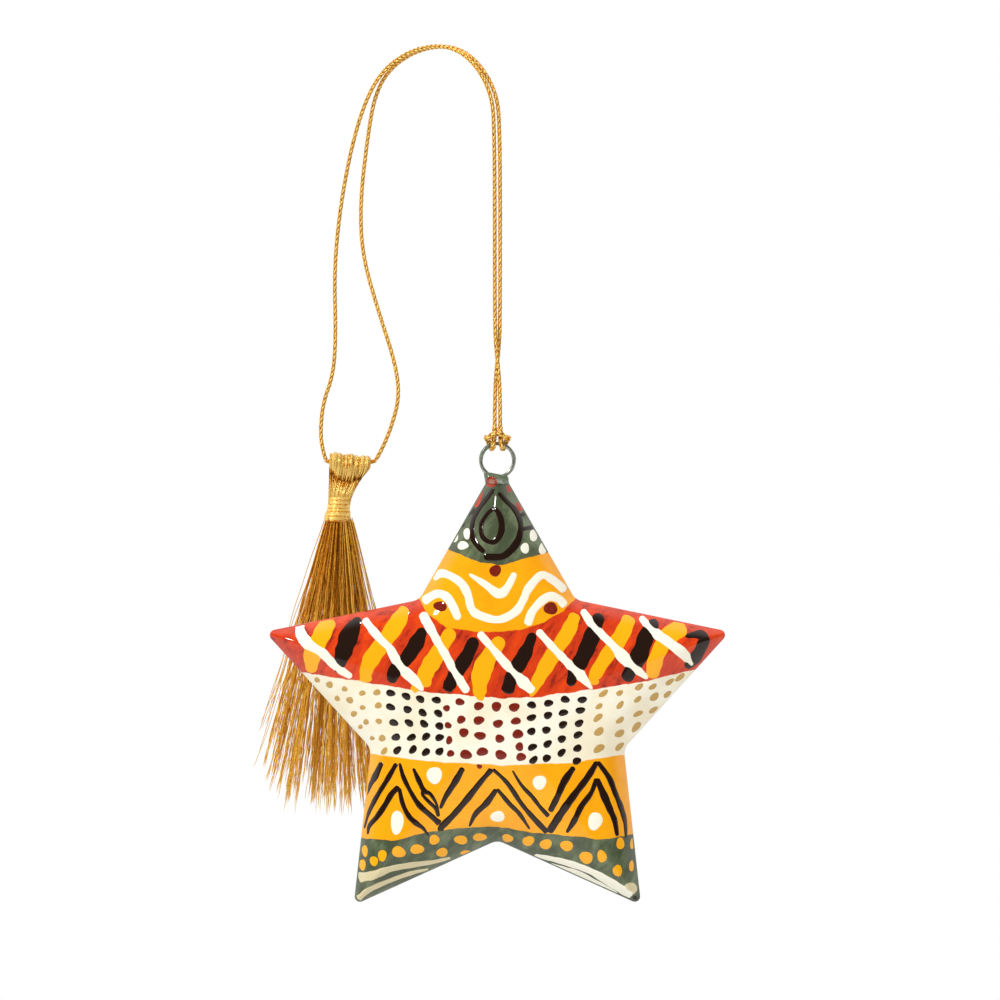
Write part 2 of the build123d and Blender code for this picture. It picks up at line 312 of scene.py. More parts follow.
def band_finish():
    """Six painted bands, parted where a point's height over each hand-drawn boundary changes sign."""
    finish = varnished("enamel_bands")
    spot = finish.place()
    wobble = (finish.noise(spot, 0.45) - 0.5) * BAND_WOBBLE
    patch = finish.noise(spot, 0.16, 4.0)
    streak = finish.noise(finish.place((1.3, 1, 0.4), (0, 0.55, 0)), 0.6, 4.0, 0.6)
    fine = finish.noise(finish.place((0.4, 1, 1.6)), 1.8, 3.0)

    green = finish.mix(finish.step(streak * 0.7 + patch, 0.72, 1.1), GREEN, GREEN_PALE)
    orange = finish.mix(finish.step(patch + fine * 0.4, 0.45, 0.95), ORANGE_DEEP, ORANGE)
    red = finish.mix(finish.step(streak + fine * 0.2, 0.38, 0.56), RED_DARK, RED)
    red = finish.mix(finish.step(streak + patch * 0.6, 0.74, 0.98), red, RED_HOT)
    cream = finish.mix(finish.step(patch, 0.35, 0.7), CREAM_WARM, CREAM)

    colour = green
    bands_up = (("foot", orange), ("low", cream), ("mid", red), ("high", orange), ("crest", green))
    for boundary, paint_above in bands_up:
        above = finish.step(finish.attribute(boundary) + wobble, -BAND_BLUR, BAND_BLUR)
        colour = finish.mix(above, colour, paint_above)
    finish.feed("Base Color", colour)
    finish.bump(streak * 0.5 + patch * 1.6, 0.2, 0.0004)
    return finish


def brush_finish(name, main, thin, share=0.75):
    """Brushed enamel that thins to a second colour in streaks."""
    finish = varnished(name)
    streak = finish.noise(finish.place((1.2, 1, 0.5), (0, 0.45, 0)), 1.0, 4.0, 0.6)
    fine = finish.noise(finish.place(), 2.6, 2.0)
    finish.feed("Base Color", finish.mix(finish.step(streak + fine * 0.4, share, share + 0.35), main, thin))
    finish.bump(streak + fine * 0.5, 0.2, 0.0002)
    return finish


def wire_finish():
    """Steel wire under a thin, worn wash of sage paint."""
    finish = Finish("washed_steel", Coat_Weight=0.6, Coat_Roughness=0.1)
    worn = finish.step(finish.noise(finish.place(), 0.5, 4.0, 0.6), 0.4, 0.6)
    finish.feed("Base Color", finish.mix(worn, STEEL, SAGE))
    finish.feed("Metallic", 0.9 - worn * 0.75)
    finish.feed("Roughness", 0.22 + worn * 0.25)
    finish.bump(finish.noise(finish.place(), 2.2, 3.0), 0.25, 0.0002)
    return finish


def solder_finish():
    """Solder painted sage, bare in specks, with the red dab that runs up on it from the star."""
    finish = varnished("painted_solder")
    grain = finish.noise(finish.place(), 1.7, 4.0, 0.65)
    bare = finish.step(grain, 0.54, 0.7)
    colour = finish.mix(bare, SAGE, STEEL)
    dab = finish.attribute("dab") + grain * 0.3
    red = finish.mix(finish.step(dab, 0.5, 0.85), RED_THIN, RED_DARK)
    finish.feed("Base Color", finish.mix(finish.step(dab, 1.2, 1.05), colour, red))
    finish.feed("Metallic", bare * 0.5)
    finish.bump(grain, 0.35, 0.0003)
    return finish


def gold_finish(name, dark, middle, bright, metallic):
    """Metallic gold thread, each with its own shade, broken up along its length by painted glints: noise that
    lights the colour and smooths the gloss.
    """
    finish = Finish(name, Metallic=metallic, Specular_IOR_Level=0.25)
    # Painted glint: noise that pushes the thread's colour towards the bright gold, standing in for lamp
    # glints on the metal.
    painted_glint = finish.noise(finish.place(), 3.0, 3.0, 0.7) * 1.4 - 0.2
    # The per-point shade carries each thread's own tone together with the painted light set where the pieces
    # are made.
    shade = finish.attribute("shade") * 0.6 + painted_glint
    colour = finish.mix(finish.step(shade, 0.5, 0.8), dark, middle)
    finish.feed("Base Color", finish.mix(finish.step(shade, 0.84, 1.08), colour, bright))
    finish.feed("Roughness", 0.5 - painted_glint * 0.4)
    return finish


# Star: the two pressed halves and their seam, with the steps of their meshes
RIM_STEPS = 720
WALL_STEPS = 100
WALL_EASE = 1.25
ARC_STEPS = 17
BEAD_SIDES = 10
BEAD_SINK, BEAD_WIDE, BEAD_DEEP = 0.25, 0.36, 0.45


def rim_distance(x, z):
    """Distance in from the star's rim: to the nearest straight edge, or to the arc of the nearest notch."""
    turn = np.arctan2(x, z)
    turn = np.abs((turn + POINT_TO_NOTCH) % (2 * POINT_TO_NOTCH) - POINT_TO_NOTCH)
    reach = np.hypot(x, z)
    spot = np.stack([np.hypot(reach * np.sin(turn), RIDGE_ROUND), reach * np.cos(turn)], -1)
    straight = (spot - tip) @ edge_inward
    around = np.linalg.norm(spot - notch_centre, axis=-1) - NOTCH_ROUND
    return np.where((spot - tip) @ edge_way > edge_length, around, straight)


def rise(x, z):
    """Height of the pressed wall: an arc at the rim, then a wide arc that levels out at the crown."""
    inset = np.maximum(rim_distance(x, z), 0)
    roll = np.clip(sin(RIM_SLOPE) - inset / RIM_ROLL, -1, 1)
    crown = np.clip((crown_reach - inset) / crown_radius, 0, 1)
    on_roll = RIM_ROLL * (np.sqrt(1 - roll**2) - cos(RIM_SLOPE))
    on_crown = roll_rise + crown_radius * (np.sqrt(1 - crown**2) - cos(CROWN_SLOPE))
    return np.where(inset < roll_reach, on_roll, on_crown)


def on_wall(x, z, lift, side):
    """Points in metres on the front (side 1) or the turned-round back (side -1), lifted off the wall."""
    y = -side * (SEAM / 2 + rise(x, z) + lift)
    return (STAR + np.stack([side * x, y, z], -1)) * MM


def to_star(pixels):
    """Photograph pixels to millimetres from the star's centre, drawn back by the unevenness near them."""
    pixels = np.array(pixels, float)
    away = np.linalg.norm(pixels[..., None, :] - CORNERS_PX - UNEVEN_PX, axis=-1)
    near = np.exp(-((away / UNEVEN_REACH_PX) ** 2))
    pixels = pixels - near @ UNEVEN_PX / (near.sum(-1, keepdims=True) + UNEVEN_EASE)
    return (pixels - STAR_PX) / PX_PER_MM * (1, -1)


# Band boundaries, left to right, in the photograph's pixels
BAND_EDGES_PX = {
    "crest": [(440, 543), (446, 545.5), (479, 559), (500, 562), (520, 557), (540, 551.6), (552, 548)],
    "high": [(400, 580), (420, 596), (428, 609), (447, 623), (479, 628), (496, 628.4), (519, 627), (542, 619),
             (559, 609), (572, 598), (592, 582)],
    "mid": [(270, 668), (309.6, 673), (352, 679.5), (422.6, 690), (471, 694), (500, 696.5), (528, 697),
            (588, 690), (643, 681), (684, 671), (730, 663)],
    "low": [(350, 753), (367.5, 755), (428, 761), (500, 763.8), (566, 763.7), (615.5, 758), (640, 755)],
    "foot": [(340, 838), (356, 839), (390, 840), (410.5, 833), (432, 829), (465, 825), (481, 824),
             (500, 825.6), (523, 830), (556, 834), (582, 837.6), (598, 841), (626, 838), (645, 836)],
}


def over_bands(x, z):
    """Height of points over each band boundary, in millimetres."""
    heights = {}
    for name, pixels in BAND_EDGES_PX.items():
        line = to_star(pixels)
        heights[name] = z - np.interp(x, line[:, 0], line[:, 1])
    return heights


def rim_outline():
    """Points evenly spaced clockwise round the star's outline from its top, its corners rounded."""
    heading = pi / 2 - corner_turn
    spots = corner_reach * np.stack([np.cos(heading), np.sin(heading)], -1)
    rounding = np.where(is_notch, NOTCH_ROUND, TIP_ROUND)[:, None]
    before, after = (unit(np.roll(spots, step, 0) - spots) for step in (1, -1))
    half_open = np.arccos((before * after).sum(1, keepdims=True)) / 2
    start, end = (spots + way * rounding / np.tan(half_open) for way in (before, after))
    centre = spots + unit(before + after) * rounding / np.sin(half_open)
    share = np.linspace(0, 1, ARC_STEPS)[:, None]
    chord = start[:, None] * (1 - share) + end[:, None] * share
    loop = (centre[:, None] + unit(chord - centre[:, None]) * rounding[:, None]).reshape(-1, 2)
    loop = np.roll(loop, -(ARC_STEPS // 2), axis=0)
    loop = np.concatenate([loop, loop[:1]])
    along = run_along(loop)
    return points_at(loop, along, np.linspace(0, along[-1], RIM_STEPS, endpoint=False))


def star_half(side, finish):
    """One pressed half: the outline drawn in to the centre at the wall's height, with a lip to the seam."""
    rim = rim_outline()
    share = 1 - np.linspace(0, 1, WALL_STEPS) ** WALL_EASE
    spots = share[:, None, None] * rim
    spots = np.concatenate([rim[None], spots])
    x, z = spots[..., 0], spots[..., 1]
    points = on_wall(x, z, 0, side)
    points[0, :, 1] = (STAR[1] - side * SEAM / 4) * MM
    points[..., 2] = np.minimum(points[..., 2], (STAR[2] + blunt_height) * MM)
    name = "star_front_shell" if side > 0 else "star_back_shell"
    faces = grid_faces(*x.shape, wrap=True)[:, ::-side]
    mesh_piece(name + "_enamel", points, faces, "star", finish, [name], over_bands(x, z))


def star_seam(finish):
    """The painted solder bead in the rim's seam: an oval section carried round the outline."""
    rim = rim_outline()
    way = unit(np.roll(rim, -1, 0) - np.roll(rim, 1, 0))
    outward = np.stack([-way[:, 1], way[:, 0]], -1)
    turn = full_turn(BEAD_SIDES)
    out = BEAD_WIDE * np.cos(turn) - BEAD_SINK
    spots = rim[:, None] + outward[:, None] * out[:, None]
    x, z = spots[..., 0], np.minimum(spots[..., 1], blunt_height)
    y = np.broadcast_to(BEAD_DEEP * np.sin(turn), x.shape)
    points = (STAR + np.stack([x, y, z], -1)) * MM
    faces = grid_faces(*x.shape, wrap=True, wrap_rows=True)[:, ::-1]
    node, heights = "star_seam_solder", over_bands(x, z)
    mesh_piece("seam_bead", points, faces, "star", finish, [node], heights)


# Brushwork, in the photograph's pixels: a stroke is its points and width, a dot its place, size and lean
RED_STROKES = [
    ([(487.4, 475), (487.4, 485.5)], 11.5),
    ([(479, 483), (475.5, 493), (472.5, 505)], (6, 8.5, 8)), ([(504.5, 483), (507, 490)], (5, 7)),
    ([(514, 500), (518.5, 509)], (5, 8)),
]
ORANGE_STROKES = [
    ([(334, 616), (325.7, 634), (317, 653), (314, 673)], (15, 21, 20, 13)),
    ([(406, 602), (399, 616), (387.4, 634), (373, 654.5), (366, 670), (365, 682)],
     (12, 18, 19, 18, 15, 12)),
    ([(453, 624), (436, 651.6), (425.5, 669), (421, 685)], (15, 18, 19, 15)), ([(410, 684), (416, 690)], 7),
    ([(501, 634), (487, 654.5), (480, 672), (478.5, 690), (480.5, 699)], (15, 20, 21, 15, 3)),
    ([(573, 611), (564, 631), (548.5, 654.6), (534.6, 679), (527, 696)], (13, 16, 17, 15, 4)),
    ([(628, 614), (617.7, 634.6), (604, 653), (590, 676), (591.5, 685)], (17, 17, 17, 13, 8)),
    ([(685, 624), (667, 635), (656, 651.5), (650, 668), (649, 679)], (20, 19, 17, 16, 13)),
]
ORANGE_DOTS = [
    (358, 852, 7, 12), (355, 866, 7, 13), (375.8, 855.4, 10, 12), (367, 861.4, 10, 10),
    (392.8, 851.3, 15, 12.5), (411.5, 848, 14.5, 11.5), (429, 838, 12, 10.5), (436.5, 851, 12, 11),
    (455.4, 838, 14.5, 10.5), (474, 835.4, 14.5, 9.5), (460, 851.7, 13, 5), (501.7, 836.8, 12.5, 9.5),
    (522.6, 839.4, 13, 11.5), (540.4, 842.8, 13, 12), (562, 845.2, 13.5, 12.5), (583.3, 858.7, 14, 14.5),
    (599.6, 858, 10.5, 13.5), (616.4, 873.3, 11, 12), (618, 846, 9.5, 12.5), (630.7, 869.6, 5, 13),
    (630.2, 847.3, 4, 13),
]
BLACK_STROKES = [
    ([(361, 614), (352, 632), (346, 650), (338, 672)], (9, 20, 20, 7)),
    ([(424, 623), (416.7, 638.4), (406.4, 654.5), (394, 669), (390, 682)], (10, 16, 16, 15, 9)),
    ([(475, 633), (466.6, 651.6), (457, 667), (449, 681), (445, 689)], (12, 16, 15, 15, 9)),
    ([(531, 630), (523, 650), (511, 672), (504, 692)], (9, 15, 16, 12)),
    ([(597, 611), (588.5, 634.6), (579, 656), (571, 670), (565, 686)], (13, 17, 18, 15, 9)),
    ([(655, 618), (644, 634.6), (636.5, 653), (628, 667), (620, 682)], (10, 18, 19, 16, 13)),
    ([(684, 635), (699, 633.5), (703, 640), (695, 656), (684, 667)], (4, 10, 13, 14, 8)),
    ([(483, 549.6), (476, 542.4), (470.3, 533.3), (469.8, 523), (471.8, 514), (477, 504.7), (484, 495.5),
      (490.5, 487)], (5, 6, 6, 5.5, 5, 5, 5.5, 5)),
    ([(495, 490.5), (503.5, 499.6), (511.6, 507.8), (516.7, 518), (517.8, 528), (514.7, 539.4),
      (507.6, 548.6), (499, 554), (482, 553.7)], (5, 5.5, 6, 6, 6.5, 7.5, 8, 8, 7)),
    ([(490.7, 505.7), (484, 512), (479, 521), (479.5, 531.5), (484, 537.5), (491, 539.5), (496, 535.5),
      (498.8, 528), (498.4, 519), (495.5, 511), (490.7, 505.7)], (4, 5, 5, 5, 5, 6, 6.5, 6.5, 6.5, 6, 4)),
    ([(463, 511.5), (472, 507)], 7), ([(456, 524), (462, 519)], 7), ([(517, 513.5), (524, 511)], 4.5),
    ([(519.5, 527), (531, 525)], 4.5),
    ([(378, 763), (371.4, 777), (366, 786.6), (362, 797)], (5, 7, 5, 2)),
    ([(393, 763.5), (383.4, 780), (372.5, 797.5), (364, 813.7), (358.4, 830)], (5, 5.5, 5.5, 4, 2)),
    ([(395.3, 786.6), (387.7, 794), (381, 805), (372.5, 817), (364, 826.7), (361.7, 835.4)],
     (6, 7, 6, 6, 5, 2)),
    ([(395.8, 763), (399.6, 777), (407, 792), (414.8, 804), (425.6, 813.7), (435, 822)],
     (3, 5, 5, 6, 6, 7)),
    ([(395.3, 787.7), (398.5, 803), (404, 814.8), (410.5, 821.3), (418, 826.7), (423.5, 834.3)],
     (4, 5, 6, 6, 4, 2)),
    ([(409.4, 768), (414.8, 780), (420, 790), (426, 793), (432, 803), (433.8, 814)], (3, 6, 6, 4, 3, 3)),
    ([(419, 789), (418.5, 794), (424.6, 800.7), (431, 807), (433.8, 815)], 4),
    ([(458.7, 766), (450.6, 780), (441, 795), (435.4, 807)], (6, 7, 6, 3)),
    ([(487, 767), (475.5, 780), (461.4, 797.5), (448.4, 812.6), (436.5, 825), (436, 829)],
     (6, 6, 7, 7, 7, 6)),
    ([(491.2, 787), (481, 800.7), (470, 811.6), (463.6, 824.6)], (5, 7, 6, 2)),
    ([(487.6, 767), (501.7, 781), (515.8, 801.8), (526.6, 814.8), (541.8, 831)], (3.5, 5, 5, 5.5, 7)),
    ([(491.4, 786.6), (504, 801.8), (513.6, 811.6), (524, 827.3)], (4, 5, 5, 2)),
    ([(507, 768.7), (515.8, 783.4), (526.6, 795.3), (534, 805), (543, 815)], (2, 4, 4.5, 4.5, 5)),
    ([(567.8, 768), (558, 782), (551.6, 796), (544, 810.5)], (6, 8, 7, 6)),
    ([(590.6, 763.5), (581, 779), (570, 793), (560, 806), (551.6, 818), (543, 831)], (6, 7, 8, 8, 9, 7)),
    ([(590.6, 763.5), (602.5, 780), (609, 795), (615.5, 809.4), (621, 824.6), (623.6, 841)],
     (5, 6, 6, 6, 5, 3)),
    ([(590, 780), (585, 794), (575.4, 807), (569, 820), (561.3, 832)], (5, 5.5, 6.5, 7, 3)),
    ([(590, 780), (598, 797.5), (604.7, 811.6), (610, 822.4), (614.4, 838.7)], (6, 8, 7.5, 6, 4)),
]
BLACK_COLUMNS_PX = (
    ((388.5, 387.7, 390.4, 392.4, 393.6), (692.4, 707, 723, 737.6, 750.7)),
    ((404, 404.6, 405.8, 408, 409.3), (695.4, 709.3, 723, 737.6, 749.7)),
    ((418, 419.7, 420.8, 422.5, 422.2), (698, 712.3, 723.7, 736.5, 752)),
    ((434.4, 435.6, 436.3, 436, 435.8), (698.6, 712.6, 725.6, 737.2, 751)),
    ((527.7, 527, 526.5, 527, 528), (704.6, 717.7, 731.5, 747, 759.5)),
    ((543.8, 542.8, 540.8, 541.8, 540.8), (703.4, 716, 730.8, 744.6, 758.5)),
    ((560, 557.7, 557, 555.7, 555.4), (700, 713.8, 726, 740.3, 753.8)),
    ((576.6, 574.3, 572.8, 571.5, 571, 570.3), (700.8, 711.8, 725, 736.6, 750, 762.5)),
)
BLACK_DOT_PX = (10, 7.6)
BLACK_LEAN = {"left": (-22, -26, -28, 32, 52), "right": (0, 15, 20, 28, 42, 10)}
BLACK_DOTS = [
    (x, y, *BLACK_DOT_PX, lean) for columns, rows in BLACK_COLUMNS_PX
    for x, y, lean in zip(columns, rows, BLACK_LEAN["left" if columns[0] < STAR_PX[0] else "right"])
] + [(634.5, 902.5, 5, 5)]
MAROON_DOTS = [
    (493.8, 567.4, 12, 13), (440.4, 601.4, 14, 11), (547.8, 606, 14, 14), (474.7, 764.7, 6, 5),
    (444.2, 707, 8, 6.5), (445, 724.7, 7.5, 7), (445.6, 739.6, 7, 9), (446.7, 752.6, 8.5, 7),
    (458, 700, 9.5, 8), (458.4, 718.5, 9, 9), (460.5, 731.6, 9.5, 10.5), (461.8, 753.2, 13, 10),
    (476.7, 704.2, 10.5, 9), (476, 719, 12, 9), (476.5, 734.4, 12, 9), (478, 750.2, 12, 9.5),
    (494, 705, 11, 10), (494.6, 722.5, 10.5, 9), (495.6, 737.4, 10.5, 8.5), (496, 753.3, 12, 10.5),
    (511, 706.3, 12, 9), (512, 720.5, 10.5, 8), (513.3, 733.5, 11, 10.5), (514.5, 746, 9, 9),
    (515.8, 756, 10, 9.5),
]
GOLD_DOTS = [
    (319, 680, 6, 6), (330.2, 684.7, 8, 7), (344, 689, 6, 6), (360.6, 693, 7, 6), (375, 692, 8, 6.5),
    (336, 699, 6, 6), (348, 700.5, 8, 7), (360, 708, 6, 5.5), (375.6, 705.6, 8, 6.5), (351, 714.7, 7, 6.5),
    (362.8, 722.8, 6.5, 6), (375.6, 721.8, 7, 6), (357, 728, 4.5, 5.5), (368.4, 739.4, 5, 5),
    (378.5, 739, 8, 7), (380.4, 752, 10, 5.4, 50), (597.7, 694.6, 11.4, 5.8, 30),
    (613.8, 694.3, 8.4, 5.2, 35), (633.8, 688, 10.8, 5.6, 40), (648, 687.7, 9.2, 5.6, 35),
    (666.6, 682.3, 10.4, 5.6, 30), (678, 677.2, 12, 6, 38), (592.8, 708, 8, 5.6, 35),
    (613.8, 707, 10.4, 5.6, 45), (631.8, 701.2, 9.2, 5.6, 35), (649.2, 698.5, 12, 7, 38),
    (663.4, 695.8, 10.4, 5.4, 35), (591.5, 719.7, 11.2, 6.6, 42), (613.4, 722.6, 9.6, 6, 35),
    (631.8, 716.2, 11, 5.8, 28), (647.7, 712.6, 11.4, 5.2, 38), (592.3, 733.8, 12.4, 7.4, 38),
    (613, 736.2, 11.6, 7.2, 38), (630, 730, 14.4, 6.6, 48), (592.3, 750.8, 13, 7.8, 38),
    (613, 749.7, 11.2, 6.6, 42),
]
WHITE_STROKES = [
    ([(304.5, 622), (305.5, 632.5), (312.5, 642.8), (325.7, 651.6), (333.5, 660.4), (342, 669),
      (352, 676.5)], (10, 11, 12, 11, 9, 9, 7)),
    ([(365, 615), (372.7, 625), (381.5, 635.5), (390, 644.3), (395, 654.5), (403.5, 667.7), (413.5, 678),
      (421.5, 689)], (8, 8, 9, 9, 10, 12, 11, 4)),
    ([(422, 607.6), (430, 622.3), (438.7, 638.4), (447.5, 654.5), (456.3, 672), (466.6, 690)],
     (9, 10, 9, 9, 10, 8)),
    ([(478, 628), (490, 643), (501.5, 657.7), (513, 671.5), (521, 681), (530.5, 691)],
     (8, 8.5, 9, 10, 12, 9)),
    ([(534.6, 627.5), (551.5, 647), (563.8, 660.8), (576, 674.6), (587, 690)], (8, 8, 9, 12, 3)),
    ([(579, 607.5), (591.5, 625.4), (607, 641), (620.8, 657.7), (631.5, 668.5), (643.5, 679)],
     (8, 9, 8.5, 13, 10, 4)),
    ([(638, 615), (651.5, 630), (667, 641), (682.3, 653), (692, 665)], (7, 10, 12, 11, 5)),
    ([(432, 573), (443, 569), (459, 577), (467, 589), (471, 604), (479, 611), (497, 616), (513, 609),
      (521, 597), (526, 586), (538.6, 573), (550, 578), (563, 589)], 8.5),
    ([(468.5, 570), (483.5, 580), (497, 590), (505, 585), (513, 570)], (3, 7, 11, 8, 7)),
    ([(422.6, 597), (437.6, 589), (449, 595), (459, 615)], 9),
    ([(524.8, 622.7), (530.5, 607.7), (544, 595), (554.6, 596), (562.7, 604)], 9),
    ([(529, 854.5), (543, 857.5), (558, 861.5), (575, 867.5), (591, 874.5), (606, 883.5), (622, 893.5),
      (632, 899)], (3, 5.5, 7, 7, 7.5, 9, 10.5, 9)),
    ([(546, 864), (561, 870), (577.6, 877), (599, 888.5), (617, 898)], (2, 5.5, 7.5, 6.5, 3)),
]
# Cream strokes on the rims that face down, painted tan as painted shade.
CREAM_STROKES_PAINTED_SHADE = [
    ([(350.5, 879), (366, 875.5), (383.4, 869), (405, 864.7), (426.7, 861.4), (445, 857)],
     (11, 9, 7, 6, 5, 2.5)),
    ([(349.8, 900.5), (361.7, 890.7), (383.4, 881), (405, 873.3), (422.4, 869)], (7, 5.5, 5, 4.5, 2.5)),
    ([(632.5, 886.5), (630.5, 892), (629, 898)], (9, 14, 12)),
]
WHITE_DOTS = [
    (465.2, 530.7, 8, 11), (453.5, 533.3, 7, 12), (461.6, 542, 11, 9), (530.5, 533.8, 8, 12),
    (522.3, 546, 9.5, 10.5), (540.2, 546.5, 9, 12), (430.3, 774.5, 15, 19), (392.4, 821.8, 14, 24),
    (492, 814.3, 14, 12.5), (533.7, 781.5, 15, 14), (590, 822, 15, 19),
]

# How the paint lies, in millimetres, with the steps of its meshes
PAINT_SINK = 0.015
RIM_MARGIN = 0.12
STROKE_STEP = 0.2
STROKE_LEAST_ROWS = 14
STROKE_COLUMNS = 11
STROKE_CAP = 0.32
DOT_SIDES = 24
DOT_RINGS = (0, 0.25, 0.5, 0.7, 0.85, 0.95, 1.0)


def stroke(pixels, width):
    """A brush stroke: a smooth line with a swelling width and rounded ends, domed across."""
    line = to_star(pixels)
    length = np.linalg.norm(np.diff(line, axis=0), axis=1).sum()
    rows = int(length / STROKE_STEP) + STROKE_LEAST_ROWS
    line = smooth_line(line, rows)
    way = unit(np.gradient(line, axis=0))
    across = np.stack([-way[:, 1], way[:, 0]], -1)
    share = np.linspace(0, 1, rows)
    widths = np.atleast_1d(width) / PX_PER_MM
    half = np.interp(share, np.linspace(0, 1, len(widths)), widths) / 2
    cap = min(0.5, STROKE_CAP * widths.mean() / length)
    into_cap = np.clip((np.abs(2 * share - 1) - 1 + 2 * cap) / (2 * cap), 0, 1)
    taper = np.sqrt(1 - 0.98 * into_cap**2)
    hand = rng.uniform(0, 2 * pi, 2)
    run = share * length
    unsteady = 1 + 0.06 * np.sin(run * 1.1 + hand[0]) + 0.04 * np.sin(run * 2.7 + hand[1])
    over = np.linspace(-1, 1, STROKE_COLUMNS)
    spots = line[:, None] + across[:, None] * (over * (half * taper * unsteady)[:, None])[..., None]
    return spots, (1 - over**4) * taper[:, None], False


def dot(x, y, wide, tall, lean=0.0):
    """A dab of paint: an uneven oval disc, domed, whose long side leans up to the right by some degrees."""
    turn = full_turn(DOT_SIDES)
    hand = rng.uniform(0, 2 * pi, 2)
    uneven = 1 + 0.07 * np.sin(2 * turn + hand[0]) + 0.05 * np.sin(3 * turn + hand[1])
    oval = np.stack([wide * np.cos(turn), tall * np.sin(turn)], -1) / 2 / PX_PER_MM * uneven[:, None]
    along, up = cos(radians(lean)), sin(radians(lean))
    oval = oval @ np.array([(along, up), (-up, along)])
    share = np.array(DOT_RINGS)[:, None]
    lift = np.broadcast_to(1 - share**4, (len(share), len(turn)))
    return to_star((x, y)) + share[..., None] * oval, lift, True


def keep_inside(x, z):
    """Points that pass the rim are drawn back to just inside it."""
    step = 0.02
    inset = rim_distance(x, z)
    short = np.maximum(RIM_MARGIN - inset, 0)
    slope_x = (rim_distance(x + step, z) - inset) / step
    slope_z = (rim_distance(x, z + step) - inset) / step
    return x + short * slope_x, np.minimum(z + short * slope_z, blunt_height - RIM_MARGIN)


def paint(name, finish, thickness, strokes=(), dots=()):
    """One paint's strokes and dots, draped on both faces of the star."""
    dabs = [stroke(*each) for each in strokes] + [dot(*each) for each in dots]
    for side, face in ((1, "front"), (-1, "back")):
        points, faces, base = [], [], 0
        for spots, lift, wrap in dabs:
            x, z = keep_inside(spots[..., 0], spots[..., 1])
            points.append(on_wall(x, z, thickness * lift - PAINT_SINK, side).reshape(-1, 3))
            faces.append(grid_faces(*x.shape, wrap)[:, ::-side] + base)
            base += x.size
        points, faces = np.concatenate(points), np.concatenate(faces)
        mesh_piece(f"{name}_{face}", points, faces, "star", finish)


# Ring and its solder, in millimetres, with the steps of their meshes
WIRE = 0.68
RING_STEPS, RING_SIDES = 96, 16
SADDLE_STEPS, SADDLE_SIDES = 40, 48
SADDLE_SLANT = 0.2
DAB_X, DAB_Z = 1.0, 0.2
ring_low, ring_high = (np.array(edge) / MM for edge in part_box("hanging_ring"))
RING = (ring_low + ring_high) / 2
ring_radius = (ring_high[0] - ring_low[0]) / 2 - WIRE / 2

# Half width, half depth, pointedness and height over the blunt point of the saddle's sections
SADDLE_KEYS = [
    (1.5, 2.1, 1.5, -0.3), (2.02, 2.74, 1.5, -0.05), (2.06, 2.25, 1.4, 0.3), (2.08, 1.35, 1.2, 0.75),
    (2.1, 0.74, 1.0, 1.3), (1.75, 0.46, 1.0, 1.62), (0.02, 0.01, 1.0, 1.5),
]


def ring(finish):
    """A closed wire ring: a circle carried round a circle, a little uneven as hand-closed wire is."""
    turn, around = full_turn(RING_STEPS)[:, None], full_turn(RING_SIDES)
    wire = WIRE / 2 * (1 + 0.05 * np.sin(3 * turn + 1) + 0.04 * np.sin(7 * turn))
    reach = ring_radius + wire * np.cos(around)
    points = RING + np.stack([reach * np.cos(turn), wire * np.sin(around), reach * np.sin(turn)], -1)
    faces = grid_faces(RING_STEPS, RING_SIDES, wrap=True, wrap_rows=True)
    mesh_piece("ring_wire", points * MM, faces, "star", finish, ["hanging_ring"])


def ring_solder(finish):
    """The solder saddle: oval sections at the ring's foot that turn to the blunt point's section below."""
    wide, deep, pointed, height = smooth_line(SADDLE_KEYS, SADDLE_STEPS).T[:, :, None]
    turn = full_turn(SADDLE_SIDES)
    x = wide * np.sign(np.cos(turn)) * np.abs(np.cos(turn)) ** pointed
    y = deep * np.sign(np.sin(turn)) * np.abs(np.sin(turn)) ** pointed
    upper = np.clip(height, 0, 1)
    x = x - SADDLE_SLANT * upper
    height = height - SADDLE_SLANT * x * upper
    points = np.array([RING[0], RING[1], 0]) + np.stack([x, y, STAR[2] + blunt_height + height], -1)
    values = {"dab": np.hypot(x - np.sign(y) * DAB_X, height - DAB_Z)}
    faces = grid_faces(SADDLE_STEPS, SADDLE_SIDES, wrap=True)
    mesh_piece("ring_saddle", points * MM, faces, "star", finish, ["ring_solder"], values)


# Cord: the routes' points in millimetres, as the solids have them
CORD = 0.8
STRAND_SPREAD = 0.46
DROP_X, DROP_Y = 10.6, -9.0
PIVOT_Z = -65.5
HITCH_PLAY = 0.3
HITCH_HEIGHT = 2.4
HITCH_FIT = 0.2
TASSEL = np.array([-15.0, 11.0, -71.1])
MOUTH = 4.1
LEFT_ROUTE = [
    (DROP_X + STRAND_SPREAD, DROP_Y, PIVOT_Z + HITCH_PLAY), (DROP_X + STRAND_SPREAD, DROP_Y, -61.0),
    (DROP_X + 0.28, DROP_Y - 0.5, -56.2), (DROP_X - 0.28, DROP_Y - 0.5, -51.4),
    (DROP_X - STRAND_SPREAD, DROP_Y, -46.6), (DROP_X - STRAND_SPREAD, DROP_Y, -14.0), (9.5, -8.9, -8.0),
    (6.5, -6.4, -2.6), (2.3, -2.5, 0.4), (-3.3, 2.5, 0.4), (-8.4, 7.0, -2.2), (-11.7, 9.9, -6.6),
    (-14.4, 10.8, -14.4), (-16.6, 11.0, -25.5), (-17.8, 11.0, -37.0), (-17.5, 11.0, -48.5),
    (-17.9, 11.0, -55.5), (-19.7, 11.0, -60.5), (-20.2, 11.0, -65.4), (-19.85, 11.0, -68.6),
    (TASSEL[0] - MOUTH - 0.2, TASSEL[1], TASSEL[2] + 0.67),
]
